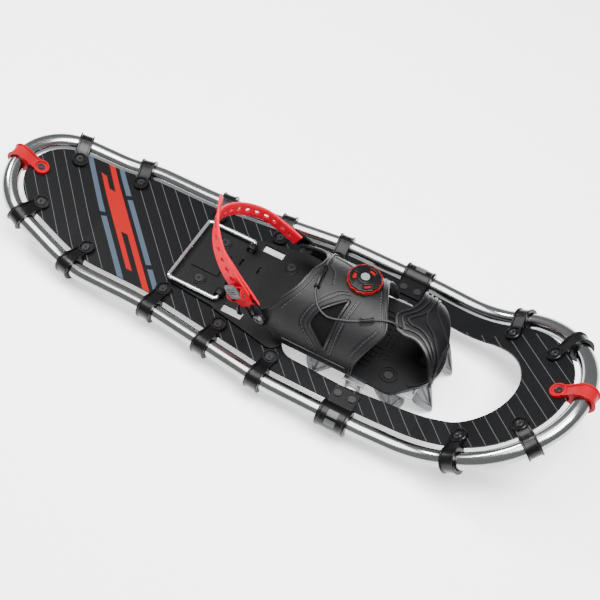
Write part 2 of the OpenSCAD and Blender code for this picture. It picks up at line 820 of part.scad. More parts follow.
module tab(side, rise, reach) {
    along_strap(side, rise) difference() {
        union() {
            translate([side * tab_t / 2, 0, 0]) rotate([0, 90, 0])
                cylinder(h = tab_t, r = 8.5, center = true);
            translate([side * tab_t / 2, 0, reach / 2])
                cube([tab_t, 17, reach], center = true);
        }
        rotate([0, 90, 0]) cylinder(h = 20, r = eyelet_r + running_gap, center = true);
        translate([0, 0, reach - 5]) rotate([0, 90, 0])
            cylinder(h = 20, r = rivet_r + 0.1, center = true);
    }
}

module strap_tabs() {
    color([0.1, 0.1, 0.1]) {
        tab(1, right_rise, 22);
        tab(-1, left_rise, 22);
    }
}

strap_t = 2.6;
strap_w = 17;
strap_x = tab_x - 0.2 - strap_t / 2;
strap_line = [
    [strap_x, -4.6, 69.5], [strap_x, -16, 85], [46.5, -30, 100], [40, -46, 113],
    [26, -60, 117], [6, -70, 112], [-16, -72, 101], [-34, -63, 91],
    [-45, -46, 82], [-strap_x, -28, 72], [-strap_x, -7, 61.2]];
tail_line = [
    [strap_x + 3.9, -10.9, 78.3], [strap_x + 3.9, -18, 88.4], [51.8, -30, 105.5],
    [46, -44, 122], [36, -54, 134], [22, -61, 142], [6, -66, 148]];

// Flat strap whose face always looks away from the middle of the heel
heel_mid = [0, -34, 0];
module flat_strap(line, width) {
    n = len(line);
    tangents = [for (i = [0:n - 1])
        unit(line[min(i + 1, n - 1)] - line[max(i - 1, 0)])];
    outward = [for (i = [0:n - 1])
        let (o = [line[i][0], min(line[i][1] - heel_mid[1], 0), 0], t = tangents[i])
        unit(o - t * (o * t))];
    points = [for (i = [0:n - 1])
        let (o = outward[i] * strap_t / 2, w = cross(tangents[i], outward[i]) * width / 2)
        each [line[i] + o + w, line[i] + o - w, line[i] - o - w, line[i] - o + w]];
    faces = concat([[0, 1, 2], [0, 2, 3], [4 * n - 4, 4 * n - 2, 4 * n - 3],
                    [4 * n - 4, 4 * n - 1, 4 * n - 2]],
        [for (i = [0:n - 2], k = [0:3]) let (a = 4 * i + k, b = 4 * i + (k + 1) % 4)
            each [[a, a + 4, b + 4], [a, b + 4, b]]]);
    polyhedron(points, faces);
}

module heel_strap() {
    color([0.88, 0.13, 0.22]) flat_strap(strap_line, strap_w);
}

// The free end, doubled back through the buckle and standing up
module strap_end() {
    color([0.88, 0.13, 0.22]) flat_strap(tail_line, strap_w - 1);
}

module tab_rivets() {
    color("dimgray") for (s = [[1, right_rise], [-1, left_rise]])
        along_strap(s[0], s[1]) translate([s[0] * (tab_t + 0.05), 0, 17])
            rotate([0, s[0] * 90, 0]) cylinder(h = 1.2, r = 3.4);
}

// Buckle: a red body on the right tab and a lever that clamps the strap's end
module at_buckle() {
    along_strap(1, right_rise) translate([tab_t + 3.6, 0, 26]) children();
}

pin_z = 11;
module buckle_base() {
    color([0.88, 0.13, 0.22]) at_buckle() difference() {
        union() {
            translate([-2.2, -9.5, -6]) cube([3, 19, 26]);
            translate([-3.55, -8, -5.4]) cube([1.5, 16, 3.4]);
            for (y = [-9.5, 7]) translate([-2.2, y, 4]) cube([9.4, 2.5, 13]);
        }
        translate([-4, -7, 6]) cube([8, 14, 9]);
        translate([3, 0, pin_z]) rotate([90, 0, 0])
            cylinder(h = 40, r = 1.5 + running_gap, center = true);
    }
}

module buckle_pin() {
    color("silver") at_buckle() translate([3, 0, pin_z]) rotate([90, 0, 0])
        cylinder(h = 19, r = 1.5, center = true);
}

module buckle_lever() {
    color([0.35, 0.36, 0.37]) at_buckle() difference() {
        union() {
            translate([3, 0, pin_z]) rotate([90, 0, 0])
                cylinder(h = 13.4, r = 3.2, center = true);
            translate([3.2, -6.7, pin_z]) cube([3, 13.4, 14]);
        }
        translate([3, 0, pin_z]) rotate([90, 0, 0])
            cylinder(h = 40, r = 1.5 + running_gap, center = true);
    }
}

for (i = [1:CLIPS]) {
    black_clip(i - 1);
    mirror([1, 0, 0]) black_clip(i - 1);
}
frame_tube();
splice_sleeve();
deck();
tail_clip();
toe_clip();
clip_rivets();
clip_washers();
pivot_clamp();  // pivot_clamp_right
mirror([1, 0, 0]) pivot_clamp();  // pivot_clamp_left
clamp_rivets();
pivot_axle();
pivot_bushes();
heel_plate();
heel_crampon();
heel_bolts();
heel_nuts();
heel_bail();
toe_crampon();
foot_plate();
foot_plate_rivets();
harness_wrap();
toe_cup();
toe_cup_rivets();
lace();
lace_guides();
dial_base();
dial_spool();
dial_shaft();
dial_knob();
dial_grip_ring();
dial_hub();
anchor_eyelets();
strap_tabs();
heel_strap();
strap_end();
tab_rivets();
buckle_base();
buckle_lever();
buckle_pin();
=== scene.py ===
import json
import math

import bmesh
import bpy
import numpy as np
from mathutils import Matrix, Vector


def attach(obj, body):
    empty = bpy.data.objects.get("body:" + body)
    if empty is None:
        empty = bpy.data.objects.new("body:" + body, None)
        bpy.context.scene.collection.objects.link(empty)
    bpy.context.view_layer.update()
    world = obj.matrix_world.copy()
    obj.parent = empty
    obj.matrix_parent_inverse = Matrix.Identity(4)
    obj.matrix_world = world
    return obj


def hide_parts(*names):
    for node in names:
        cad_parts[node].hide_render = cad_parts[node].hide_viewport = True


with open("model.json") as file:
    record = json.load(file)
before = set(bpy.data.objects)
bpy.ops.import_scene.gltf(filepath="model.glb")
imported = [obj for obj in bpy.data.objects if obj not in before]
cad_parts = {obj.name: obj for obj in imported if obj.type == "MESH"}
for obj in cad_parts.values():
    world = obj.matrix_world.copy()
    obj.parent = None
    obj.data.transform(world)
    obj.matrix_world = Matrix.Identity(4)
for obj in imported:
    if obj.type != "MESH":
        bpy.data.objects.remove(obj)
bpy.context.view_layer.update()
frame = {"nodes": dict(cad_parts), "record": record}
MM = 0.001
SAME_POINT = 1e-6


# ---------------------------------------------------------------- materials
def material(name, colour, rough, metal=0.0, grain=500.0, bump=0.15, vary=0.12,
             coat=0.0, patches=25.0, depth=0.0002, spec=0.3):
    """A finish with uneven colour and gloss and a fine grain in the surface."""
    mat = bpy.data.materials.new(name)
    mat.use_nodes = True
    nodes, links = mat.node_tree.nodes, mat.node_tree.links
    shader = nodes["Principled BSDF"]
    shader.inputs["Metallic"].default_value = metal
    shader.inputs["Coat Weight"].default_value = coat
    shader.inputs["Specular IOR Level"].default_value = spec
    place = nodes.new("ShaderNodeTexCoord")
    large = nodes.new("ShaderNodeTexNoise")
    large.inputs["Scale"].default_value = patches
    large.inputs["Detail"].default_value = 4
    fine = nodes.new("ShaderNodeTexNoise")
    fine.inputs["Scale"].default_value = grain
    fine.inputs["Detail"].default_value = 3
    links.new(place.outputs["Object"], large.inputs["Vector"])
    links.new(place.outputs["Object"], fine.inputs["Vector"])
    tint = nodes.new("ShaderNodeMix")
    tint.data_type = "RGBA"
    tint.inputs["A"].default_value = [c * (1 - vary) for c in colour] + [1]
    tint.inputs["B"].default_value = [min(1, c * (1 + vary)) for c in colour] + [1]
    links.new(large.outputs["Fac"], tint.inputs["Factor"])
    links.new(tint.outputs["Result"], shader.inputs["Base Color"])
    gloss = nodes.new("ShaderNodeMapRange")
    gloss.inputs["To Min"].default_value = max(0.02, rough * (1 - vary))
    gloss.inputs["To Max"].default_value = min(1, rough * (1 + vary))
    links.new(fine.outputs["Fac"], gloss.inputs["Value"])
    links.new(gloss.outputs["Result"], shader.inputs["Roughness"])
    relief = nodes.new("ShaderNodeBump")
    relief.inputs["Strength"].default_value = bump
    relief.inputs["Distance"].default_value = depth
    links.new(fine.outputs["Fac"], relief.inputs["Height"])
    links.new(relief.outputs["Normal"], shader.inputs["Normal"])
    return mat


# Tones are darker and less glossy than life, because the render lifts dark tones.
MATS = {
    "tube_aluminium": material("tube_aluminium", (0.30, 0.305, 0.31), 0.16, 1.0,
                               grain=900, bump=0.05),
    "black_moulding": material("black_moulding", (0.0022, 0.0022, 0.0025), 0.28,
                               spec=0.2),
    "red_moulding": material("red_moulding", (0.24, 0.0006, 0.006), 0.36,
                             spec=0.08),
    "dark_steel": material("dark_steel", (0.03, 0.03, 0.032), 0.32, 0.8),
    "bright_steel": material("bright_steel", (0.36, 0.37, 0.38), 0.32, 1.0,
                             grain=700, bump=0.1, patches=60),
    # Painted shade: the crampon's teeth get a much darker copy of its steel, which stands
    # in for the shade and dark reflections on them.
    "fin_steel_painted_shade": material("fin_steel_painted_shade", (0.085, 0.088, 0.092), 0.34, 1.0, grain=700,
                          bump=0.15, vary=0.5, patches=110),
    "wire_chrome": material("wire_chrome", (0.85, 0.86, 0.88), 0.14, 1.0, bump=0.03),
    "bush_plastic": material("bush_plastic", (0.50, 0.50, 0.46), 0.5),
    "heel_plastic": material("heel_plastic", (0.0022, 0.0023, 0.0026), 0.44, bump=0.3,
                             spec=0.14),
    "harness_leather": material("harness_leather", (0.0085, 0.0085, 0.009), 0.42,
                                grain=900, bump=0.7, vary=0.3, depth=0.0003, spec=0.17),
    "lace_cord": material("lace_cord", (0.02, 0.02, 0.022), 0.5, grain=1500, bump=0.6),
    "strap_rubber": material("strap_rubber", (0.50, 0.002, 0.018), 0.42, bump=0.1,
                             spec=0.06),
    "grey_plastic": material("grey_plastic", (0.045, 0.047, 0.05), 0.36),
    "dial_ring_red": material("dial_ring_red", (0.16, 0.002, 0.002), 0.2, coat=0.3),
    "deck_sheet": material("deck_sheet", (0.0022, 0.0023, 0.0026), 0.36, grain=1500,
                           bump=0.25, vary=0.15, spec=0.10),
    "window_mesh": material("window_mesh", (0.003, 0.003, 0.003), 0.7, grain=2500,
                            bump=0.9, depth=0.0005, spec=0.05),
    "piping": material("piping", (0.005, 0.005, 0.0055), 0.36, grain=900, bump=0.3,
                       spec=0.25),
    "clamp_window": material("clamp_window", (0.045, 0.047, 0.05), 0.3),
}

SLOT = {s["node"]: s["material_slot"] for s in frame["record"]["subparts"]}
for name, obj in frame["nodes"].items():
    obj.data.materials.clear()
    obj.data.materials.append(MATS[SLOT[name]])

# ---------------------------------------------------------------- building
def unit(v):
    return np.asarray(v, float) / np.linalg.norm(v)


def piece(name, verts, faces, slot_name, body, replaces=(), thick=0.0, sub=0,
          sharp=35.0, place=None, finish=None):
    """One piece of the object, from points in millimetres.

    thick turns a sheet into a solid below its face, sub smooths it that many times,
    and finish is a look that differs from the slot's own.
    """
    data = bpy.data.meshes.new(name)
    data.from_pydata([[float(c) * MM for c in v] for v in verts], [], faces)
    work = bmesh.new()
    work.from_mesh(data)
    bmesh.ops.remove_doubles(work, verts=work.verts, dist=SAME_POINT)
    bmesh.ops.recalc_face_normals(work, faces=work.faces)
    work.to_mesh(data)
    work.free()
    data.shade_smooth()
    data.set_sharp_from_angle(angle=math.radians(sharp))
    data.materials.append(MATS[finish or slot_name])
    obj = bpy.data.objects.new(name, data)
    bpy.context.scene.collection.objects.link(obj)
    if place is not None:
        obj.matrix_world = place
    if thick:
        solid = obj.modifiers.new("thick", "SOLIDIFY")
        solid.thickness = thick * MM
        solid.offset = -1
    if sub:
        smooth = obj.modifiers.new("sub", "SUBSURF")
        smooth.render_levels = sub
        smooth.levels = sub
    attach(obj, body)
    if replaces:
        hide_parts(*replaces)


def join(*parts):
    """Several (points, faces) lists as one."""
    verts, faces = [], []
    for points, polys in parts:
        base = len(verts)
        verts += [list(p) for p in points]
        faces += [[base + i for i in poly] for poly in polys]
    return verts, faces


def moved(part, matrix):
    """A (points, faces) list carried by a matrix."""
    return [list(matrix @ Vector(p)) for p in part[0]], part[1]


def smooth_line(points, step=2.0, closed=False):
    """Catmull-Rom line through points, resampled at even steps."""
    pts = [np.asarray(p, float) for p in points]
    n = len(pts)
    out = []
    for i in range(n if closed else n - 1):
        if closed:
            a, b, c, d = (pts[(i + k) % n] for k in (-1, 0, 1, 2))
        else:
            b, c = pts[i], pts[i + 1]
            a = pts[i - 1] if i else 2 * b - c
            d = pts[i + 2] if i + 2 < n else 2 * c - b
        count = max(1, int(round(np.linalg.norm(c - b) / step)))
        for k in range(count):
            t = k / count
            out.append(0.5 * (2 * b + (c - a) * t + (2 * a - 5 * b + 4 * c - d) * t ** 2
                              + (3 * b - a - 3 * c + d) * t ** 3))
    if not closed:
        out.append(pts[-1])
    return out


def circle(radius, count):
    return [(radius * math.cos(2 * math.pi * k / count),
             radius * math.sin(2 * math.pi * k / count)) for k in range(count)]


def sweep(line, profile, closed=False, ups=None):
    """The profile carried along a line, its second axis kept towards ups."""
    pts = [np.asarray(p, float) for p in line]
    n, m = len(pts), len(profile)
    verts, up = [], None
    for i, p in enumerate(pts):
        after = pts[(i + 1) % n] if closed or i + 1 < n else p
        before = pts[i - 1] if closed or i else p
        along = unit(after - before)
        if ups is not None:
            up = np.asarray(ups[i], float)
        elif up is None:
            up = np.array([0, 0, 1.0]) if abs(along[2]) < 0.9 else np.array([1.0, 0, 0])
        up = unit(up - along * np.dot(up, along))
        side = np.cross(along, up)
        verts += [list(p + (u * side + v * up)) for u, v in profile]
    faces = []
    for i in range(n if closed else n - 1):
        j = (i + 1) % n
        faces += [[i * m + k, i * m + (k + 1) % m, j * m + (k + 1) % m, j * m + k]
                  for k in range(m)]
    if not closed:
        faces += [list(range(m)), list(range((n - 1) * m, n * m))]
    return verts, faces


def spin(profile, count=48, wave=None, closed=True):
    """Profile of (radius, height) turned about Z. wave(angle) scales the radius."""
    m = len(profile)
    verts = []
    for k in range(count):
        a = 2 * math.pi * k / count
        for r, z in profile:
            q = r * (wave(a) if wave else 1.0)
            verts.append([q * math.cos(a), q * math.sin(a), z])
    faces = [[k * m + i, k * m + (i + 1) % m, ((k + 1) % count) * m + (i + 1) % m,
              ((k + 1) % count) * m + i]
             for k in range(count) for i in range(m if closed else m - 1)]
    return verts, faces


def block(low, high):
    """Box between two corners."""
    (x0, y0, z0), (x1, y1, z1) = low, high
    verts = [(x, y, z) for z in (z0, z1) for y in (y0, y1) for x in (x0, x1)]
    return verts, [[0, 1, 3, 2], [4, 6, 7, 5], [0, 4, 5, 1], [2, 3, 7, 6],
                   [0, 2, 6, 4], [1, 5, 7, 3]]


def slab(outline, holes, low, high, edge=0.4):
    """Plate with rounded edges and real holes, from 2D loops."""
    curve = bpy.data.curves.new("slab", "CURVE")
    curve.dimensions = "2D"
    curve.fill_mode = "BOTH"
    curve.extrude = (high - low) / 2 - edge
    curve.bevel_depth = edge
    curve.bevel_resolution = 2
    curve.offset = -edge
    for loop in [outline] + list(holes):
        spline = curve.splines.new("POLY")
        spline.points.add(len(loop) - 1)
        for point, (x, y) in zip(spline.points, loop):
            point.co = (x, y, 0, 1)
        spline.use_cyclic_u = True
    holder = bpy.data.objects.new("slab", curve)
    bpy.context.scene.collection.objects.link(holder)
    bpy.context.view_layer.update()
    data = bpy.data.meshes.new_from_object(
        holder.evaluated_get(bpy.context.evaluated_depsgraph_get()))
    verts = [(v.co.x, v.co.y, v.co.z + (low + high) / 2) for v in data.vertices]
    faces = [list(p.vertices) for p in data.polygons]
    bpy.data.objects.remove(holder)
    bpy.data.curves.remove(curve)
    bpy.data.meshes.remove(data)
    return verts, faces


def ring_loop(x, y, radius, count):
    return [(x + u, y + v) for u, v in circle(radius, count)]


def inside(point, loop):
    """Whether a 2D point lies within a closed loop."""
    x, y = point
    hit = False
    for (x0, y0), (x1, y1) in zip(loop, loop[1:] + loop[:1]):
        if (y0 > y) != (y1 > y) and x < x0 + (y - y0) * (x1 - x0) / (y1 - y0):
            hit = not hit
    return hit


def blend_at(value, table):
    """Cubic ease between the (value, result) pairs of a table."""
    keys = [k for k, _ in table]
    i = min(max(int(np.searchsorted(keys, value, side="right")) - 1, 0), len(keys) - 2)
    t = min(max((value - keys[i]) / (keys[i + 1] - keys[i]), 0.0), 1.0)
    got = [v for _, v in table]
    span = keys[i + 1] - keys[i]
    slopes = []
    for j in (i, i + 1):
        lo, hi = max(j - 1, 0), min(j + 1, len(keys) - 1)
        slopes.append((got[hi] - got[lo]) / (keys[hi] - keys[lo]) * span)
    a, b = got[i], got[i + 1]
    return ((2 * t ** 3 - 3 * t ** 2 + 1) * a + (t ** 3 - 2 * t ** 2 + t) * slopes[0]
            + (3 * t ** 2 - 2 * t ** 3) * b + (t ** 3 - t ** 2) * slopes[1])


# ---------------------------------------------------------------- frame tube
# Where the tube bends up at the toe and the tail, and how steeply; its corners as
# (x, y, bend radius) from the tail to the toe; and the clips' places along it.
TUBE_Z, TUBE_R = 26.0, 8.5
TOE_FOLD, TOE_TILT = 196.4, math.radians(32)
TAIL_FOLD, TAIL_TILT = -215.4, math.radians(17)
END_Y = 308
CORNERS = [(47.5, -END_Y, 60), (70, -215.4, 100), (76.5, -189, 100), (76.5, -113, 300),
           (94.3, 29, 300), (94.3, 132, 300), (91, 196.4, 105), (88, 266.5, 107),
           (28, END_Y, 78)]
CLIP_YS = [-269, -201, -104, -37, 26, 226.5, 284]
ARC_STEP = 4


def lift(y):
    """Height gained by the upturned toe or tail."""
    if y > TOE_FOLD:
        return (y - TOE_FOLD) * math.tan(TOE_TILT)
    return max(0.0, TAIL_FOLD - y) * math.tan(TAIL_TILT)


def tube_line():
    """Centre line of the whole tube, with an arc at every corner."""
    right = [(np.array([x, y, TUBE_Z + lift(y)]), r) for x, y, r in CORNERS]
    left = [(p * [-1, 1, 1], r) for p, r in reversed(right)]
    corners = right + left
    n = len(corners)
    line = []
    for i, (b, r) in enumerate(corners):
        a, c = corners[i - 1][0], corners[(i + 1) % n][0]
        into, out = unit(b - a), unit(c - b)
        turn = math.acos(np.clip(np.dot(into, out), -1, 1))
        cut = r * math.tan(turn / 2)
        centre = b + unit(out - into) * r / math.cos(turn / 2)
        start = unit(b - into * cut - centre)
        steps = max(4, int(turn * r / ARC_STEP))
        line += [centre + r * (start * math.cos(turn * k / steps)
                               + into * math.sin(turn * k / steps))
                 for k in range(steps + 1)]
    return line


TUBE = tube_line()
RIGHT = [p for p in TUBE if p[0] > 0]


def build_tube():
    wall = sweep(TUBE, circle(TUBE_R, 40), closed=True)
    piece("tube", *wall, "tube_aluminium", "frame", replaces=("frame_tube",), sharp=60)


def on_tube(y):
    """Point and direction on the right side of the tube."""
    i = max(k for k, p in enumerate(RIGHT[:-1]) if p[1] <= y)
    a, b = RIGHT[i], RIGHT[i + 1]
    return a + (b - a) * (y - a[1]) / (b[1] - a[1]), unit(b - a)


def tube_frame(point, along, normal, mirrored=False):
    """Axes at the tube: x over the deck, y along the tube, z up."""
    inward = unit(np.cross(normal, along))
    up = np.cross(inward, -along)
    cols = [inward, -along, up]
    if mirrored:
        point = point * [-1, 1, 1]
        cols = [c * [-1, 1, 1] for c in cols]
        cols[1] = -cols[1]
    return Matrix([[cols[c][r] for c in range(3)] + [point[r] * MM] for r in range(3)]
                  + [[0, 0, 0, 1]])


# ---------------------------------------------------------------- clips
BOSS_X = 24


def clip_shape():
    """Moulded clip: a flanged band round the tube, and an arm out to a boss."""
    band = spin([(9.05, -7.4), (12.3, -7.4), (12.5, -6.9), (12.3, -6.0), (11.3, -5.3),
                 (11.1, 0), (11.3, 5.3), (12.3, 6.0), (12.5, 6.9), (12.3, 7.4),
                 (9.05, 7.4)], 44)
    band = moved(band, Matrix.Rotation(math.radians(90), 4, "X"))
    path = smooth_line([(-1.5, 0, 10.2), (4, 0, 9.8), (9, 0, 8.4), (14, 0, 6.9),
                        (19, 0, 6.2), (23, 0, 6.1)], 1.5)
    channel = [(-6.6, -1.1), (6.6, -1.1), (6.6, 2.1), (5.2, 2.1), (4.7, 0.9),
               (-4.7, 0.9), (-5.2, 2.1), (-6.6, 2.1)]
    arm = sweep(path, channel, ups=[(0.2, 0, 1)] * len(path))
    path = smooth_line([(-1.5, 0, -10.2), (5, 0, -9.0), (11, 0, -4.5), (16, 0, 0.4),
                        (BOSS_X, 0, 1.7)], 2)
    lower = sweep(path, [(-6, -0.9), (6, -0.9), (6, 0.9), (-6, 0.9)],
                  ups=[(-0.5, 0, 1)] * len(path))
    boss = spin([(0, 5.05), (8.0, 5.05), (8.3, 5.5), (8.2, 8.0), (7.6, 8.6), (6.5, 8.6),
                 (6.1, 8.1), (6.0, 7.1), (0, 7.1)], 32, closed=False)
    under = spin([(0, 0.9), (7.6, 0.9), (7.8, 1.3), (7.8, 2.4), (7.4, 2.95), (0, 2.95)],
                 28, closed=False)
    eyelet = spin([(1.5, 6.9), (3.0, 6.9), (3.4, 7.2), (3.5, 7.9), (3.0, 8.5), (2.1, 8.5),
                   (1.7, 8.1)], 24)
    shift = Matrix.Translation((BOSS_X, 0, 0))
    body = join(band, arm, lower, moved(boss, shift), moved(under, shift))
    return body, moved(eyelet, shift)


def build_clips():
    shape, eyelet = clip_shape()
    places = []
    for i, y in enumerate(CLIP_YS):
        point, along = on_tube(y)
        normal = unit([0, -along[2], along[1]])
        for word, mirrored in (("right", False), ("left", True)):
            places.append((f"clip_{word}_{i + 1}", "black_moulding",
                           tube_frame(point, along, normal, mirrored)))
    tail = np.array([0, -END_Y, TUBE_Z + lift(-END_Y)])
    toe = np.array([0, END_Y, TUBE_Z + lift(END_Y)])
    places.append(("tail_clip", "red_moulding", tube_frame(
        tail, np.array([1.0, 0, 0]),
        np.array([0, math.sin(TAIL_TILT), math.cos(TAIL_TILT)]))))
    places.append(("toe_clip", "red_moulding", tube_frame(
        toe, np.array([-1.0, 0, 0]),
        np.array([0, -math.sin(TOE_TILT), math.cos(TOE_TILT)]))))
    for name, slot_name, place in places:
        piece(name + "_shape", *shape, slot_name, "frame", replaces=(name,), place=place)
        piece(name + "_eyelet", *eyelet, "dark_steel", "frame", place=place)


# ---------------------------------------------------------------- deck
def sheet_steps(nodes, links):
    """Distance along the folded sheet, and across it, in millimetres."""
    place = nodes.new("ShaderNodeTexCoord")
    split = nodes.new("ShaderNodeSeparateXYZ")
    links.new(place.outputs["Object"], split.inputs["Vector"])

    def op(kind, a, b=None, c=None):
        node = nodes.new("ShaderNodeMath")
        node.operation = kind
        for k, value in enumerate((a, b, c)):
            if value is None:
                continue
            if isinstance(value, (int, float)):
                node.inputs[k].default_value = value
            else:
                links.new(value, node.inputs[k])
        return node.outputs[0]

    x = op("MULTIPLY", split.outputs["X"], 1 / MM)
    y = op("MULTIPLY", split.outputs["Y"], 1 / MM)
    toe = op("MULTIPLY", op("MAXIMUM", op("SUBTRACT", y, TOE_FOLD), 0.0),
             1 / math.cos(TOE_TILT) - 1)
    tail = op("MULTIPLY", op("MAXIMUM", op("SUBTRACT", TAIL_FOLD, y), 0.0),
              1 / math.cos(TAIL_TILT) - 1)
    return op, x, op("SUBTRACT", op("ADD", y, toe), tail)


def paint_deck():
    """Fine pale lines at 45 degrees, and bars on the same slant near the tail: two grey
    ones, and between them two red ones that are joined in the middle.
    """
    mat = MATS["deck_sheet"]
    nodes, links = mat.node_tree.nodes, mat.node_tree.links
    shader = nodes["Principled BSDF"]
    op, x, s = sheet_steps(nodes, links)
    across = op("SUBTRACT", s, x)

    def between(value, low, high):
        return op("MULTIPLY", op("GREATER_THAN", value, low), op("LESS_THAN", value, high))

    def both(a, b):
        return op("MULTIPLY", a, b)

    def either(a, b):
        return op("MAXIMUM", a, b)

    line_gap, line_half = 16.7, 0.023
    row = op("DIVIDE", op("ADD", across, 31.0), line_gap)
    near = op("ABSOLUTE", op("SUBTRACT", row, op("ROUND", row)))
    line = op("LESS_THAN", near, line_half)
    outside_bars = op("SUBTRACT", 1.0, between(across, -222.0, -156.0))
    wobble = op("MULTIPLY", op("SINE", op("MULTIPLY", op("ROUND", row), 12.7)), 26.0)
    start = op("GREATER_THAN", x, op("SUBTRACT", wobble, 78.0))
    line = both(both(line, outside_bars), start)

    def bar(low, high, x_low, x_high, breaks=()):
        """One bar, with thin slanting breaks."""
        shape = both(between(across, low, high), between(x, x_low, x_high))
        for centre in breaks:
            shape = both(shape, op("GREATER_THAN", op("ABSOLUTE", op(
                "SUBTRACT", op("ADD", x, op("MULTIPLY", op("SUBTRACT", across, low), 0.3)),
                centre)), 2.0))
        return shape

    grey = either(bar(-213.9, -206.3, -60, 70, (5,)),
                  bar(-170.4, -163.2, -70, 80, (-27, 39)))
    red = either(either(bar(-198.7, -191.9, -38, 51), bar(-184.2, -176.0, -70, 80)),
                 bar(-198.7, -176.0, -27, 14))

    def paint(under, mask, colour):
        mix = nodes.new("ShaderNodeMix")
        mix.data_type = "RGBA"
        links.new(mask, mix.inputs["Factor"])
        links.new(under, mix.inputs["A"])
        mix.inputs["B"].default_value = list(colour) + [1]
        return mix.outputs["Result"]

    base = shader.inputs["Base Color"].links[0].from_socket
    colour = paint(base, line, (0.052, 0.055, 0.06))
    colour = paint(colour, grey, (0.032, 0.044, 0.062))
    colour = paint(colour, red, (0.20, 0.002, 0.002))
    links.new(colour, shader.inputs["Base Color"])


# ---------------------------------------------------------------- harness wrap
# An arch of half width WRAP_W and height WRAP_H over the foot. Its edges and window
# are given as (angle round the arch, y).
WRAP_BASE, WRAP_W, WRAP_H = 39.1, 54.0, 56.0
WRAP_THICK = 2.6
SURFACE_STEP = 1.5
REAR = [(0, 24), (8, 18), (13, 4), (19, -4), (25, 2), (34, 11), (47, 17.4), (67, 27),
        (91, 32), (107, 36), (126, 33), (140, 20), (155, 0), (161, -4), (167, 4), (172, 18),
        (180, 24)]
FRONT = [(0, 104), (16, 104.6), (41, 113), (58, 120.5), (63, 121.3), (70, 119.5),
         (90, 110), (129, 98), (155, 101), (180, 106)]


def wrap_point(angle, y, rise=0.0):
    """Point on the wrap at an angle round the foot, rise above its face.

    The sides draw in a little towards the heel.
    """
    a = math.radians(angle)
    pull = 2.6 * float(np.clip((26 - y) / 18, 0, 1))
    base = np.array([(WRAP_W - pull) * math.cos(a), y, WRAP_BASE + WRAP_H * math.sin(a)])
    return base + wrap_up(angle) * rise


def wrap_up(angle):
    """Outward direction of the wrap at an angle."""
    a = math.radians(angle)
    return unit([math.cos(a) * WRAP_H, 0, math.sin(a) * WRAP_W])


WINDOW = [(77, 78), (67, 66.5), (57, 56.5), (48, 53.0), (40, 51.2), (35.5, 53.2),
          (25, 65), (17.5, 72.5), (19.5, 74.4), (36, 75), (55, 75.6)]


def on_surface(line, rise):
    """Smooth line on the wrap through (angle, y) pairs, with its outward directions."""
    dense = smooth_line([(a, y, 0) for a, y in line], SURFACE_STEP)
    return ([wrap_point(p[0], p[1], rise) for p in dense], [wrap_up(p[0]) for p in dense])


def straight_corners(loop):
    """Closed loop of straight sides with its corners cut off, in short steps."""
    step, cut, most = 2.0, 2.2, 0.3
    out = []
    for i, (x, y) in enumerate(loop):
        x0, y0 = loop[i - 1]
        x1, y1 = loop[(i + 1) % len(loop)]
        for u, v in ((x0, y0), (x1, y1)):
            far = math.hypot(u - x, v - y)
            t = min(most, cut / far)
            out.append((x + (u - x) * t, y + (v - y) * t))
    dense = []
    for (x0, y0), (x1, y1) in zip(out, out[1:] + out[:1]):
        count = max(1, int(math.hypot(x1 - x0, y1 - y0) / step))
        dense += [(x0 + (x1 - x0) * k / count, y0 + (y1 - y0) * k / count)
                  for k in range(count)]
    return dense


def dashes(line, ups):
    """Stitches: short rods laid along a line."""
    length, gap, radius = 2.1, 1.5, 0.34
    parts = []
    pts = [np.asarray(p) for p in line]
    walked = np.concatenate([[0], np.cumsum([np.linalg.norm(b - a)
                                             for a, b in zip(pts, pts[1:])])])
    at = 0.0
    while at + length < walked[-1]:
        spot = []
        for d in (at, at + length / 2, at + length):
            i = min(int(np.searchsorted(walked, d, side="right")) - 1, len(pts) - 2)
            t = (d - walked[i]) / (walked[i + 1] - walked[i])
            spot.append(pts[i] * (1 - t) + pts[i + 1] * t)
        i = min(int(np.searchsorted(walked, at, side="right")) - 1, len(pts) - 2)
        parts.append(sweep(spot, circle(radius, 6), ups=[ups[i]] * 3))
        at += length + gap
    return join(*parts)


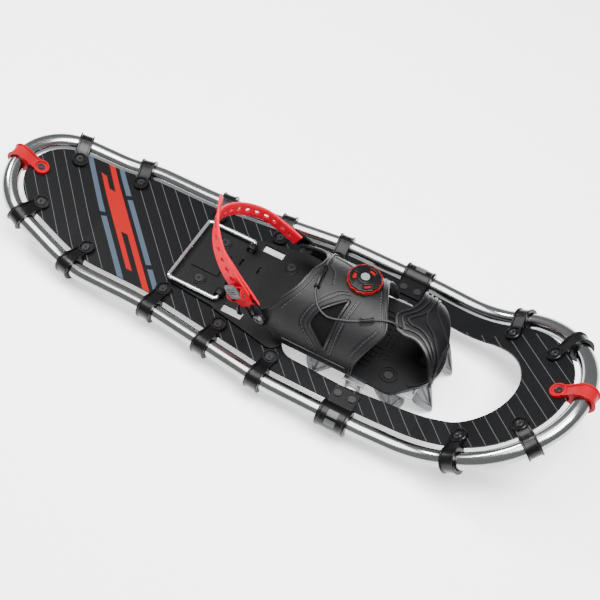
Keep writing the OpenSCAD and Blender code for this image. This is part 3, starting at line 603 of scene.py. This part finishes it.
def build_wrap():
    angles = [1.0 * k for k in range(181)]
    rows = 84
    points, params = [], []
    for t in range(rows + 1):
        for a in angles:
            y = (blend_at(a, REAR) * (rows - t) + blend_at(a, FRONT) * t) / rows
            points.append(wrap_point(a, y))
            params.append((a, y))
    n = len(angles)
    faces = []
    for t in range(rows):
        for i in range(n - 1):
            quad = [t * n + i, t * n + i + 1, (t + 1) * n + i + 1, (t + 1) * n + i]
            if not inside(np.mean([params[k] for k in quad], axis=0), WINDOW):
                faces.append(quad)
    piece("wrap_body", points, faces, "harness_leather", "binding",
          replaces=("harness_wrap",), thick=WRAP_THICK, sharp=50)

    # The mesh pane lies halfway into the wrap, in rings that shrink to its middle.
    loop = straight_corners(WINDOW)
    centre = tuple(np.mean(loop, axis=0))
    shrinks = (1.04, 0.75, 0.5, 0.25)
    verts = [wrap_point(centre[0] + (a - centre[0]) * shrink,
                        centre[1] + (y - centre[1]) * shrink, -WRAP_THICK / 2)
             for shrink in shrinks for a, y in loop]
    verts.append(wrap_point(*centre, -WRAP_THICK / 2))
    m, last = len(loop), len(shrinks) - 1
    pane = [[r * m + k, r * m + (k + 1) % m, (r + 1) * m + (k + 1) % m, (r + 1) * m + k]
            for r in range(last) for k in range(m)]
    pane += [[last * m + k, last * m + (k + 1) % m, (last + 1) * m] for k in range(m)]
    piece("wrap_windows", verts, pane, "harness_leather", "binding",
          finish="window_mesh")

    lip = [(-1.9, -1.2), (1.9, -1.2), (1.9, 0.1), (1.2, 1.0), (0.3, 0.45),
           (-0.3, 0.45), (-1.2, 1.0), (-1.9, 0.1)]
    rim = sweep([wrap_point(a, y, 0.35) for a, y in loop], lip, closed=True,
                ups=[wrap_up(a) for a, _ in loop])
    front = [(a, blend_at(a, FRONT)) for a in range(2, 179, 4)]
    rear = [(a, blend_at(a, REAR)) for a in range(2, 179, 2)]
    edges = []
    for line, shift in ((front, -0.4), (rear, 0.4)):
        pts, ups = on_surface([(a, y + shift) for a, y in line], -1.2)
        edges.append(sweep(pts, circle(1.75, 12), ups=ups))
    piece("wrap_edging", *join(rim, *edges), "harness_leather", "binding",
          finish="piping", sharp=40)

    seams, stitches = [], []

    def seam(line, with_stitches=True, offset=1.7):
        """Raised seam, with a row of stitches beside it at the offset."""
        pts, ups = on_surface(line, 0.0)
        seams.append(sweep(pts, [(-0.9, -0.4), (0.9, -0.4), (0.5, 0.75), (-0.5, 0.75)],
                           ups=ups))
        if with_stitches:
            pts, ups = on_surface([(a, y + offset) for a, y in line], 0.1)
            stitches.append(dashes(pts, ups))

    middle = list(range(40, 150, 4))
    rear_line = [(a, blend_at(a, REAR) + 5.4) for a in middle]
    front_line = [(a, blend_at(a, FRONT) - 5.6) for a in range(22, 64, 4)]
    top_line = [(a, blend_at(a, FRONT) - 4.6) for a in range(66, 150, 4)]
    seam(rear_line)
    seam(front_line, offset=-1.9)
    seam([(a, y - 4.4) for a, y in front_line], with_stitches=False)
    seam(top_line, offset=-1.9)
    seam([(14, 77.5), (20, 78.6), (36, 79.2), (54, 80), (70, 81.8), (80, 83)])
    seam([(14, 80.8), (36, 82.6), (54, 83.4), (70, 85.4), (79, 86.6)], with_stitches=False)
    outer = [(82, 76), (79, 68), (69, 59), (58, 50.5), (48, 47), (39, 45.4), (31, 48.6),
             (20, 61), (12, 70.5)]
    seam(outer, offset=-1.9)
    seam([(a + (2 if a > 60 else 0), y - 3.8) for a, y in outer], with_stitches=False)
    seam([(105, 43), (99, 50), (91, 52.5), (84, 55.5)])
    seam([(106, 37), (96, 38.6), (86, 39), (74, 44), (66, 50)], with_stitches=False)
    for near in (8, 172):
        seam([(near, y) for y in (30, 50, 70, 98)], with_stitches=False)
    seam([(130, 40), (126, 55), (122, 62)], with_stitches=False)
    seam([(122, 94), (135, 86), (150, 84), (168, 84)])
    piece("wrap_seams", *join(*seams), "harness_leather", "binding", finish="piping")
    piece("wrap_stitches", *join(*stitches), "harness_leather", "binding",
          finish="grey_plastic")


# ---------------------------------------------------------------- lace and dial
def build_lace():
    plan = [(-47, 36), (-38, 37), (-26, 38.5), (-13, 40), (17, 44), (25, 48.5), (31, 55),
            (34, 66), (31.5, 80), (27, 94), (20, 108), (15.5, 121)]

    def over(x, y, rise):
        """Point above the wrap's arch."""
        return (x, y, WRAP_BASE + WRAP_H * math.sqrt(1 - (x / WRAP_W) ** 2) + rise)

    points = [over(x, y, 2.1) for x, y in plan] + [(10, 132, WRAP_BASE + 48)]
    line = smooth_line(points, 2)
    piece("lace_cord", *sweep(line, circle(0.85, 10)), "lace_cord", "binding",
          replaces=("lace",))
    tube_r, collar_r = 1.9, 2.7
    tubes = []
    for first, last in (((-9, 40.6), (15, 43.8)), ((26, 96), (21, 106))):
        middle = ((first[0] + last[0]) / 2, (first[1] + last[1]) / 2)
        ends = [over(x, y, tube_r) for x, y in (first, middle, last)]
        tubes.append(sweep(smooth_line(ends, 2), circle(tube_r, 14)))
        way = unit(np.array(ends[-1]) - np.array(ends[0]))
        for end in (ends[0], ends[-1]):
            tubes.append(sweep([np.array(end) - way, np.array(end) + way],
                               circle(collar_r, 14)))
        tubes.append(sweep([np.array(p) - [0, 0, 1.5] for p in ends],
                           [(-3.2, -0.6), (3.2, -0.6), (2.6, 0.8), (-2.6, 0.8)]))
    piece("lace_tubes", *join(*tubes), "black_moulding", "binding",
          replaces=("lace_guides",), sharp=40)


def build_dial():
    face_r, slot_out, slot_in = 15.7, 12.2, 8.6
    at = Matrix.Translation((-13, 80, 93))
    collar = spin([(0, -5), (15.8, -5), (16.4, -3), (18.6, -1.2), (19.2, -0.2), (18.4, 0.8),
                   (16.2, 1.7), (12, 2.2), (0, 2.2)], 64, closed=False)
    piece("dial_collar", *moved(collar, at), "black_moulding", "binding",
          replaces=("dial_base",))

    def scallop(a):
        """Fourteen shallow waves round the grip."""
        return 1 + 0.022 * math.cos(14 * a)

    ring = spin([(15.6, 2.8), (16.8, 2.8), (17.2, 3.6), (17.2, 6.4), (16.9, 7.3),
                 (16.3, 7.3), (15.6, 6.8)], 168, wave=scallop)
    piece("dial_grip", *moved(ring, at), "dial_ring_red", "dial",
          replaces=("dial_grip_ring",))
    slots = []
    for k in range(3):
        arc = [math.radians(120 * k + 20 + 40 * j / 8) for j in range(9)]
        slots.append([(slot_out * math.cos(t), slot_out * math.sin(t)) for t in arc]
                     + [(slot_in * math.cos(t), slot_in * math.sin(t))
                        for t in reversed(arc)])
    turns = [math.radians(3 * k) for k in range(120)]
    face = slab([(face_r * scallop(t) * math.cos(t), face_r * scallop(t) * math.sin(t))
                 for t in turns], slots, 3.2, 8.6, 0.7)
    crown = spin([(0, 8.0), (7.6, 8.0), (7.9, 8.7), (7.4, 9.3), (5.6, 9.5), (5.2, 9.0),
                  (0, 9.0)], 44, closed=False)
    piece("dial_centre", *moved(join(face, crown), at), "black_moulding", "dial",
          replaces=("dial_knob",))
    well = spin([(7.8, 3.0), (13.4, 3.0), (13.4, 6.6), (7.8, 6.6)], 60)
    piece("dial_well", *moved(well, at), "dial_ring_red", "dial")
    hub = spin([(0, 8.9), (3.6, 8.9), (4.4, 9.3), (4.2, 10.0), (3.2, 10.3), (2.6, 9.8),
                (0, 9.8)], 40, closed=False)
    piece("dial_centre_cap", *moved(hub, at), "bright_steel", "dial",
          replaces=("dial_hub",))


# ---------------------------------------------------------------- toe cup
# The cup's rear edge and tip as (angle, y), and its cut-away near side as (y, angle).
CUP_W, CUP_H, CUP_Y, CUP_L = 53.0, 48.0, 126.0, 57.0
CUP_REAR = [(66, 132), (75, 128.5), (80, 124), (87, 121.3), (94, 121.5), (100, 125.5),
            (107, 130.5), (124, 134), (140, 132), (160, 130), (180, 130)]
CUP_SIDE = [(121, 76), (128, 75), (135.5, 72.5), (147, 73), (156, 69), (164, 60),
            (170.5, 46), (175.5, 19), (178, 10)]
CUP_TIP = [(0, 178), (56, 177), (74, 177), (86, 177.5), (97, 176.5), (106, 166),
           (119, 154), (135, 150), (160, 150), (180, 153)]


def cup_point(angle, y):
    """Point on the cup and the direction outward: a domed arch that narrows to the toe
    and swells on the far side.
    """
    a = math.radians(angle)
    along = min(max((y - CUP_Y) / CUP_L, 0.0), 0.985)
    narrow = (1 - along ** 2.3) ** (1 / 2.3)
    low = (1 - along ** 4) ** 0.25 * (1 - 0.10 * along * math.sin(a) ** 2)
    swell = 1 + 0.16 * math.sin(math.pi * min(max((angle - 95) / 85, 0), 1)) ** 2
    base = np.array([CUP_W * math.cos(a) * narrow * swell, y,
                     WRAP_BASE + CUP_H * math.sin(a) * low * swell])
    out = unit([math.cos(a) * CUP_H, (CUP_W * along ** 3) * 1.2, math.sin(a) * CUP_W])
    return base, out


def cup_low(y):
    """Angle at which the cup starts on its open near side."""
    return blend_at(y, CUP_SIDE)


def build_cup():
    rows, cols = 60, 72
    rear_y, tip_y = 123.5, 178.0
    points = []
    for i in range(cols + 1):
        s = i / cols
        for t in range(rows + 1):
            u = t / rows
            low = cup_low(rear_y + (tip_y - rear_y) * u)
            angle = low + (180 - low) * s
            start, stop = blend_at(angle, CUP_REAR), blend_at(angle, CUP_TIP)
            y = start + (stop - start) * u
            angle = cup_low(y) + (180 - cup_low(y)) * s
            points.append(cup_point(angle, y)[0])
    m = rows + 1
    faces = [[i * m + t, i * m + t + 1, (i + 1) * m + t + 1, (i + 1) * m + t]
             for i in range(cols) for t in range(rows)]
    piece("cup_shell", points, faces, "heel_plastic", "binding", replaces=("toe_cup",),
          thick=3.0, sharp=50)

    def rib(line, width=1.7, height=1.5):
        """Raised rib along (angle, y) pairs, width being half its foot."""
        got = [cup_point(p[0], p[1])
               for p in smooth_line([(a, y, 0) for a, y in line], SURFACE_STEP)]
        profile = [(-width, -0.8), (width, -0.8), (width * 0.55, height),
                   (-width * 0.55, height)]
        return sweep([g[0] for g in got], profile, ups=[g[1] for g in got])

    ribs = []
    for gap in (1.4, 7.0, 12.6):
        side = [(cup_low(y) + gap * 1.15, y)
                for y in np.linspace(177 - gap * 0.4, 127 + gap, 14)]
        back = [(a, blend_at(a, CUP_REAR) + gap)
                for a in (86 + gap * 0.3, 93, 98, 104, 112, 122, 132, 142, 156, 176)]
        ribs.append(rib(side + back, 1.9 if gap < 3 else 1.4))
    ribs.append(rib([(a, blend_at(a, CUP_TIP) - 1.6) for a in range(8, 178, 6)], 1.7))
    ribs.append(rib([(50, 176), (60, 174), (72, 170), (90, 160), (99, 150), (108, 146),
                     (120, 146), (150, 143), (172, 146)]))
    for a in (80, 86, 92):
        ribs.append(rib([(a, 128.5 + (a - 80) * 0.2), (a - 1, 136)], 0.9, 1.2))
    piece("cup_ribs", *join(*ribs), "heel_plastic", "binding", finish="piping", sharp=30)


# ---------------------------------------------------------------- foot plate details
PLATE_TOP = 39.2


def build_foot():
    """Low ribs on the foot plate: grips under the ball, a rim, three rings."""
    parts = []
    for side in (-1, 1):
        for x in (9, 15.5, 22, 28.5, 35):
            line = smooth_line([(side * x, 88 + 0.18 * x, PLATE_TOP),
                                (side * x, 104, 39.6),
                                (side * x, 120 - 0.2 * x, PLATE_TOP)], 3)
            parts.append(sweep(line, [(-1.5, -0.5), (1.5, -0.5), (0.9, 0.8), (-0.9, 0.8)]))
    rim = [(44 * math.cos(math.radians(t)), 131 + 44.5 * math.sin(math.radians(t)),
            PLATE_TOP) for t in range(36, 145, 6)]
    parts.append(sweep(rim, [(-1.6, -0.6), (1.6, -0.6), (1.2, 1.6), (-1.2, 1.6)]))
    for x, y in ((33, 136), (-33, 136), (0, 158)):
        ring = smooth_line([(x + u, y + v, PLATE_TOP) for u, v in circle(8.5, 20)], 2,
                           closed=True)
        parts.append(sweep(ring, [(-0.8, -0.4), (0.8, -0.4), (0.5, 0.7), (-0.5, 0.7)],
                           closed=True))
    piece("foot_ribs", *join(*parts), "heel_plastic", "binding", sharp=30)


def build_fins():
    """Rounded teeth pressed from sheet, each with raised veins that meet at its tip."""
    thick, cheek_x, front_x, front_tilt = 2.9, 43, 23.5, math.radians(30)
    rear = [(55.8, 30), (54.6, 20), (56, 9), (59.4, 2.6), (63.4, 0.5), (67.4, 2.6),
            (72.5, 9), (79, 18), (85, 27), (86, 30)]
    fore = [(159, 30), (159.6, 20), (156, 9), (150.4, 2.4), (145.6, 0.5), (141.2, 2.6),
            (136, 9), (130, 18), (126, 27), (125, 30)]
    shapes, veins = [], []

    def fin(outline, place, tip, roots):
        """One tooth from its outline, with veins on both faces from tip to roots."""
        loop = [(p[0], p[1]) for p in smooth_line([(u, v, 0) for u, v in outline], 2)]
        shapes.append(moved(slab(loop, [], -thick / 2, thick / 2, 0.6), place))
        for face in (-1, 1):
            for root in roots:
                bow = ((root[0] + tip[0]) / 2 + (root[0] - tip[0]) * 0.12,
                       (root[1] + tip[1]) / 2)
                line = smooth_line([(*tip, face * thick / 2), (*bow, face * thick / 2),
                                    (*root, face * thick / 2)], 2)
                veins.append(moved(sweep(line, [(-1.7, -0.5), (1.7, -0.5), (0, 1.3)],
                                         ups=[(0, 0, face)] * len(line)), place))

    for side in (-1, 1):
        upright = Matrix(((0, 0, 1, side * cheek_x), (1, 0, 0, 0), (0, 1, 0, 0),
                          (0, 0, 0, 1)))
        fin(rear, upright, (63.6, 4.5), ((59, 27), (68, 28), (79, 27)))
        fin(fore, upright, (145.6, 4.5), ((155, 27), (145, 28), (132, 27)))
        down = Vector((0, math.sin(front_tilt), -math.cos(front_tilt)))
        out = Vector((1, 0, 0)).cross(down)
        tilt = Matrix(((side, 0, 0, side * front_x), (0, down.y, out.y, 164),
                       (0, down.z, out.z, 33.95), (0, 0, 0, 1)))
        fin([(-16.5, -1), (-17.5, 8), (-14.5, 18), (-9, 27), (-3.5, 35.5), (0.5, 37.9),
             (4.5, 35.5), (9.5, 27), (14, 18), (17, 8), (15, -1)], tilt, (0.5, 34),
            ((-11, 3), (0, 1), (11, 3)))
    # The teeth and their veins take the darker copy of the crampon steel, which is painted
    # shade.
    piece("crampon_fins", *join(*shapes), "bright_steel", "binding", finish="fin_steel_painted_shade")
    piece("crampon_ribs", *join(*veins), "bright_steel", "binding", sharp=30,
          finish="fin_steel_painted_shade")


# ---------------------------------------------------------------- heel strap
STRAP_HALF, STRAP_STEP = 8.3, 0.9
HOLE_PITCH, HOLE_LONG, HOLE_WIDE = 10.5, 2.4, 1.9
END_ROUND = 8
STRAP_RISE = 55


def build_strap():
    """The band and its free end, flat strips with a row of oval holes."""
    loop = [(48.4, -4.6, 69.5), (48.4, -16, 85), (46.5, -30, 100), (40, -46, 113),
            (26, -60, 117), (6, -70, 112), (-16, -72, 101), (-34, -63, 91),
            (-45, -46, 82), (-48.4, -28, 72), (-48.4, -7, 61.2)]
    tail = [(52.3, -10.9, 78.3), (52.3, -18, 88.4), (51.8, -30, 105.5), (46, -44, 122),
            (36, -54, 134), (22, -61, 142), (6, -66, 148)]
    for name, points, first_hole in (("heel_strap", loop, 120), ("strap_end", tail, 22)):
        line = smooth_line(points, STRAP_STEP)
        cells = 18
        n = cells + 1
        walked = 0.0
        verts, faces, keep = [], [], []
        for i, p in enumerate(line):
            ahead = line[min(i + 1, len(line) - 1)]
            before = line[max(i - 1, 0)]
            along = unit(ahead - before)
            out = np.array([p[0], min(p[1] + 34, 0), 0])
            out = unit(out - along * np.dot(out, along))
            across = np.cross(along, out)
            if i:
                walked += float(np.linalg.norm(p - line[i - 1]))
            share = 1.0
            if name == "strap_end":
                share = float(np.clip(walked / 6, 0.55, 1))
                left = STRAP_STEP * (len(line) - 1 - i)
                if left < END_ROUND:
                    share = math.sqrt(max(0.06, 1 - ((END_ROUND - left) / 8.2) ** 2))
            for k in range(n):
                u = -1 + 2 * k / cells
                crown = 0.5 * abs(u) ** 6
                verts.append(p + across * u * STRAP_HALF * share + out * (1.0 + crown))
            keep.append(walked)
        for i in range(len(line) - 1):
            for k in range(cells):
                u = (k + 0.5) / cells * 2 - 1
                mid = keep[i] + STRAP_STEP / 2
                off = (mid - first_hole) % HOLE_PITCH - HOLE_PITCH / 2
                hole = (first_hole < mid < keep[-1] - 10 and (off / HOLE_LONG) ** 2
                        + (u * STRAP_HALF / HOLE_WIDE) ** 2 < 1)
                if not hole:
                    faces.append([i * n + k, i * n + k + 1, (i + 1) * n + k + 1,
                                  (i + 1) * n + k])
        piece(name + "_band", verts, faces, "strap_rubber", "strap", replaces=(name,),
              thick=2.4, sub=1, sharp=60)


def stood_up(part):
    """A slab's own axes turned: its plane to (across, along the strap), its normal out."""
    return [(p[2], p[0], p[1]) for p in part[0]], part[1]


def build_buckle():
    at = (Matrix.Translation((49.9, 4, 57))
          @ Matrix.Rotation(math.radians(90 - STRAP_RISE), 4, "X")
          @ Matrix.Translation((6.0, 0, 26)))
    outline = [(-9.2, -5.2), (9.2, -5.2), (9.4, 12), (8, 19.5), (-8, 19.5), (-9.4, 12)]
    opening = [(-5.6, 6.6), (5.6, 6.6), (5.6, 14.4), (-5.6, 14.4)]
    parts = [stood_up(slab(outline, [opening], -1.4, 1.2, 0.5))]
    hooks = []
    for side in (-1, 1):
        points, faces = slab([(-2, 3), (1, 2), (5.2, 6), (7.0, 10), (6.6, 14),
                              (3.2, 17.4), (-2, 18)], [ring_loop(3, 11, 1.55, 16)],
                             -1.1, 1.1, 0.4)
        parts.append(([(p[0], p[2] + side * 8.3, p[1]) for p in points], faces))
        hooks.append(sweep(
            smooth_line([(0.5, side * 8.4, -3), (3.6, side * 9.0, -5.5),
                         (5.2, side * 9.4, -9.5), (3.6, side * 9.2, -12.5)], 1),
            [(-1.3, -1.1), (1.3, -1.1), (1.3, 1.1), (-1.3, 1.1)]))
    piece("buckle_body", *moved(join(*parts), at), "red_moulding", "strap",
          replaces=("buckle_base",), sharp=40)
    piece("buckle_hooks", *moved(join(*hooks), at), "black_moulding", "strap", sharp=40)
    outline = [(-6.4, 10.5), (6.4, 10.5), (6.6, 21), (5.2, 25.4), (-5.2, 25.4), (-6.6, 21)]
    arm = stood_up(slab(outline, [], 3.3, 6.0, 0.6))
    ribs = [block((5.9, -4.6, z), (6.7, 4.6, z + 0.8)) for z in (15.5, 17.6, 19.7, 21.8)]
    barrel = sweep([(3, -6.6, 11), (3, 6.6, 11)], circle(3.0, 24))
    piece("buckle_arm", *moved(join(arm, barrel, *ribs), at), "grey_plastic", "lever",
          replaces=("buckle_lever",), sharp=40)


# ---------------------------------------------------------------- wire and clamps
CLAMP_X, CLAMP_Y = 94.3, 110


def build_bail():
    """Flat wire loop, its corners rounded."""
    height, bend, steps = 37.45, 4, 6
    pts = [np.array((x, y, height)) for x, y in (
        (29.2, -50), (41, -50), (41, -105), (-41, -105), (-41, -50), (-29.2, -50))]
    line = [pts[0]]
    for a, b, c in zip(pts, pts[1:], pts[2:]):
        start, end = b - unit(b - a) * bend, b + unit(c - b) * bend
        line += [(1 - k / steps) ** 2 * start + 2 * (k / steps) * (1 - k / steps) * b
                 + (k / steps) ** 2 * end for k in range(steps + 1)]
    line.append(pts[-1])
    piece("bail_wire", *sweep(line, circle(2.2, 18)), "wire_chrome", "bail",
          replaces=("heel_bail",), sharp=60)


def soften(*names):
    """Small rounded edges on CAD solids that are shown as they are."""
    width, gap = 0.35, 1e-5
    for name in names:
        obj = frame["nodes"][name]
        weld = obj.modifiers.new("weld", "WELD")
        weld.merge_threshold = gap
        edge = obj.modifiers.new("edge", "BEVEL")
        edge.width = width * MM
        edge.segments = 2
        edge.limit_method = "ANGLE"
        edge.angle_limit = math.radians(50)


def build_clamps():
    """Collar at both ends of each pivot clamp, and its two inlaid windows."""
    radius = 12.5
    for side, word in ((1, "right"), (-1, "left")):
        middle = side * CLAMP_X
        at = Matrix.Translation((middle, CLAMP_Y, TUBE_Z)) @ Matrix.Rotation(
            math.radians(90), 4, "X")
        ends = spin([(9.1, -15.2), (12.9, -15.2), (13.2, -14.6), (13.2, -12.6),
                     (12.7, -12.0), (radius, -11.8), (radius, 11.8), (12.7, 12.0),
                     (13.2, 12.6), (13.2, 14.6), (12.9, 15.2), (9.1, 15.2)], 56)
        piece(f"clamp_collar_{word}", *moved(ends, at), "black_moulding", "frame")
        for turn in (18, 62):
            turns = [math.radians(turn + k) for k in range(-15, 16, 5)]
            path = [(middle + side * radius * math.sin(t), CLAMP_Y,
                     TUBE_Z + radius * math.cos(t)) for t in turns]
            ups = [unit([x - middle, 0, z - TUBE_Z]) for x, _, z in path]
            pane = sweep(path, [(-5.6, -0.3), (5.6, -0.3), (5.2, 0.35), (-5.2, 0.35)],
                         ups=ups)
            piece(f"clamp_window_{word}_{turn}", *pane, "black_moulding", "frame",
                  finish="clamp_window", sharp=30)


paint_deck()
build_tube()
build_clips()
build_wrap()
build_lace()
build_dial()
build_cup()
build_foot()
build_fins()
build_strap()
build_buckle()
build_bail()
build_clamps()
soften("pivot_clamp_right", "pivot_clamp_left", "heel_plate", "foot_plate",
       "toe_crampon", "strap_tabs")


# ---------------------------------------------------------------- stage
# The camera was solved from point pairs between the photo and the part.
FLOOR_HALF, FLOOR_GLOW, SKY = 3, 0.7, 0.42
AZIMUTH, ELEVATION, ROLL = (math.radians(a) for a in (112.41, 54.11, 7.21))
CAMERA_AT, LENS = (0.6455, 0.2885, 1.0041), 72.42


def add_stage():
    data = bpy.data.meshes.new("floor")
    data.from_pydata([(x * FLOOR_HALF, y * FLOOR_HALF, 0)
                      for x, y in ((-1, -1), (1, -1), (1, 1), (-1, 1))], [], [(0, 1, 2, 3)])
    floor = bpy.data.objects.new("floor", data)
    bpy.context.scene.collection.objects.link(floor)
    floor.data.materials.append(material("floor", (0.95, 0.95, 0.95), 0.8, vary=0.01,
                                         grain=60, bump=0.02))
    glow = floor.data.materials[0].node_tree.nodes["Principled BSDF"]
    glow.inputs["Emission Color"].default_value = (1, 1, 1, 1)
    glow.inputs["Emission Strength"].default_value = FLOOR_GLOW
    world = bpy.data.worlds.new("studio")
    world.use_nodes = True
    sky = world.node_tree.nodes["Background"]
    sky.inputs["Color"].default_value = (1, 1, 1, 1)
    sky.inputs["Strength"].default_value = SKY
    bpy.context.scene.world = world


def add_light(name, where, size, power):
    """Square area light aimed at the middle of the snowshoe."""
    data = bpy.data.lights.new(name, "AREA")
    data.size = size
    data.energy = power
    lamp = bpy.data.objects.new(name, data)
    bpy.context.scene.collection.objects.link(lamp)
    lamp.location = where
    lamp.rotation_euler = (-Vector(where)).to_track_quat("-Z", "Y").to_euler()


def add_camera():
    back = Vector((math.sin(AZIMUTH) * math.cos(ELEVATION),
                   -math.cos(AZIMUTH) * math.cos(ELEVATION), math.sin(ELEVATION)))
    right = Vector((0, 0, 1)).cross(back).normalized()
    up = back.cross(right)
    side = math.cos(ROLL) * right + math.sin(ROLL) * up
    rise = math.cos(ROLL) * up - math.sin(ROLL) * right
    data = bpy.data.cameras.new("camera")
    data.lens = LENS
    data.sensor_width = 36
    data.clip_end = 20
    camera = bpy.data.objects.new("camera", data)
    bpy.context.scene.collection.objects.link(camera)
    turn = Matrix((side, rise, back)).transposed()
    camera.matrix_world = Matrix.Translation(CAMERA_AT) @ turn.to_4x4()
    bpy.context.scene.camera = camera


add_stage()
add_light("key", (0.15, 0.55, 1.6), 0.8, 55)
add_light("top", (0.1, -0.05, 1.5), 1.3, 52)
add_light("side", (-0.3, -1.1, 1.2), 0.35, 30)
add_camera()
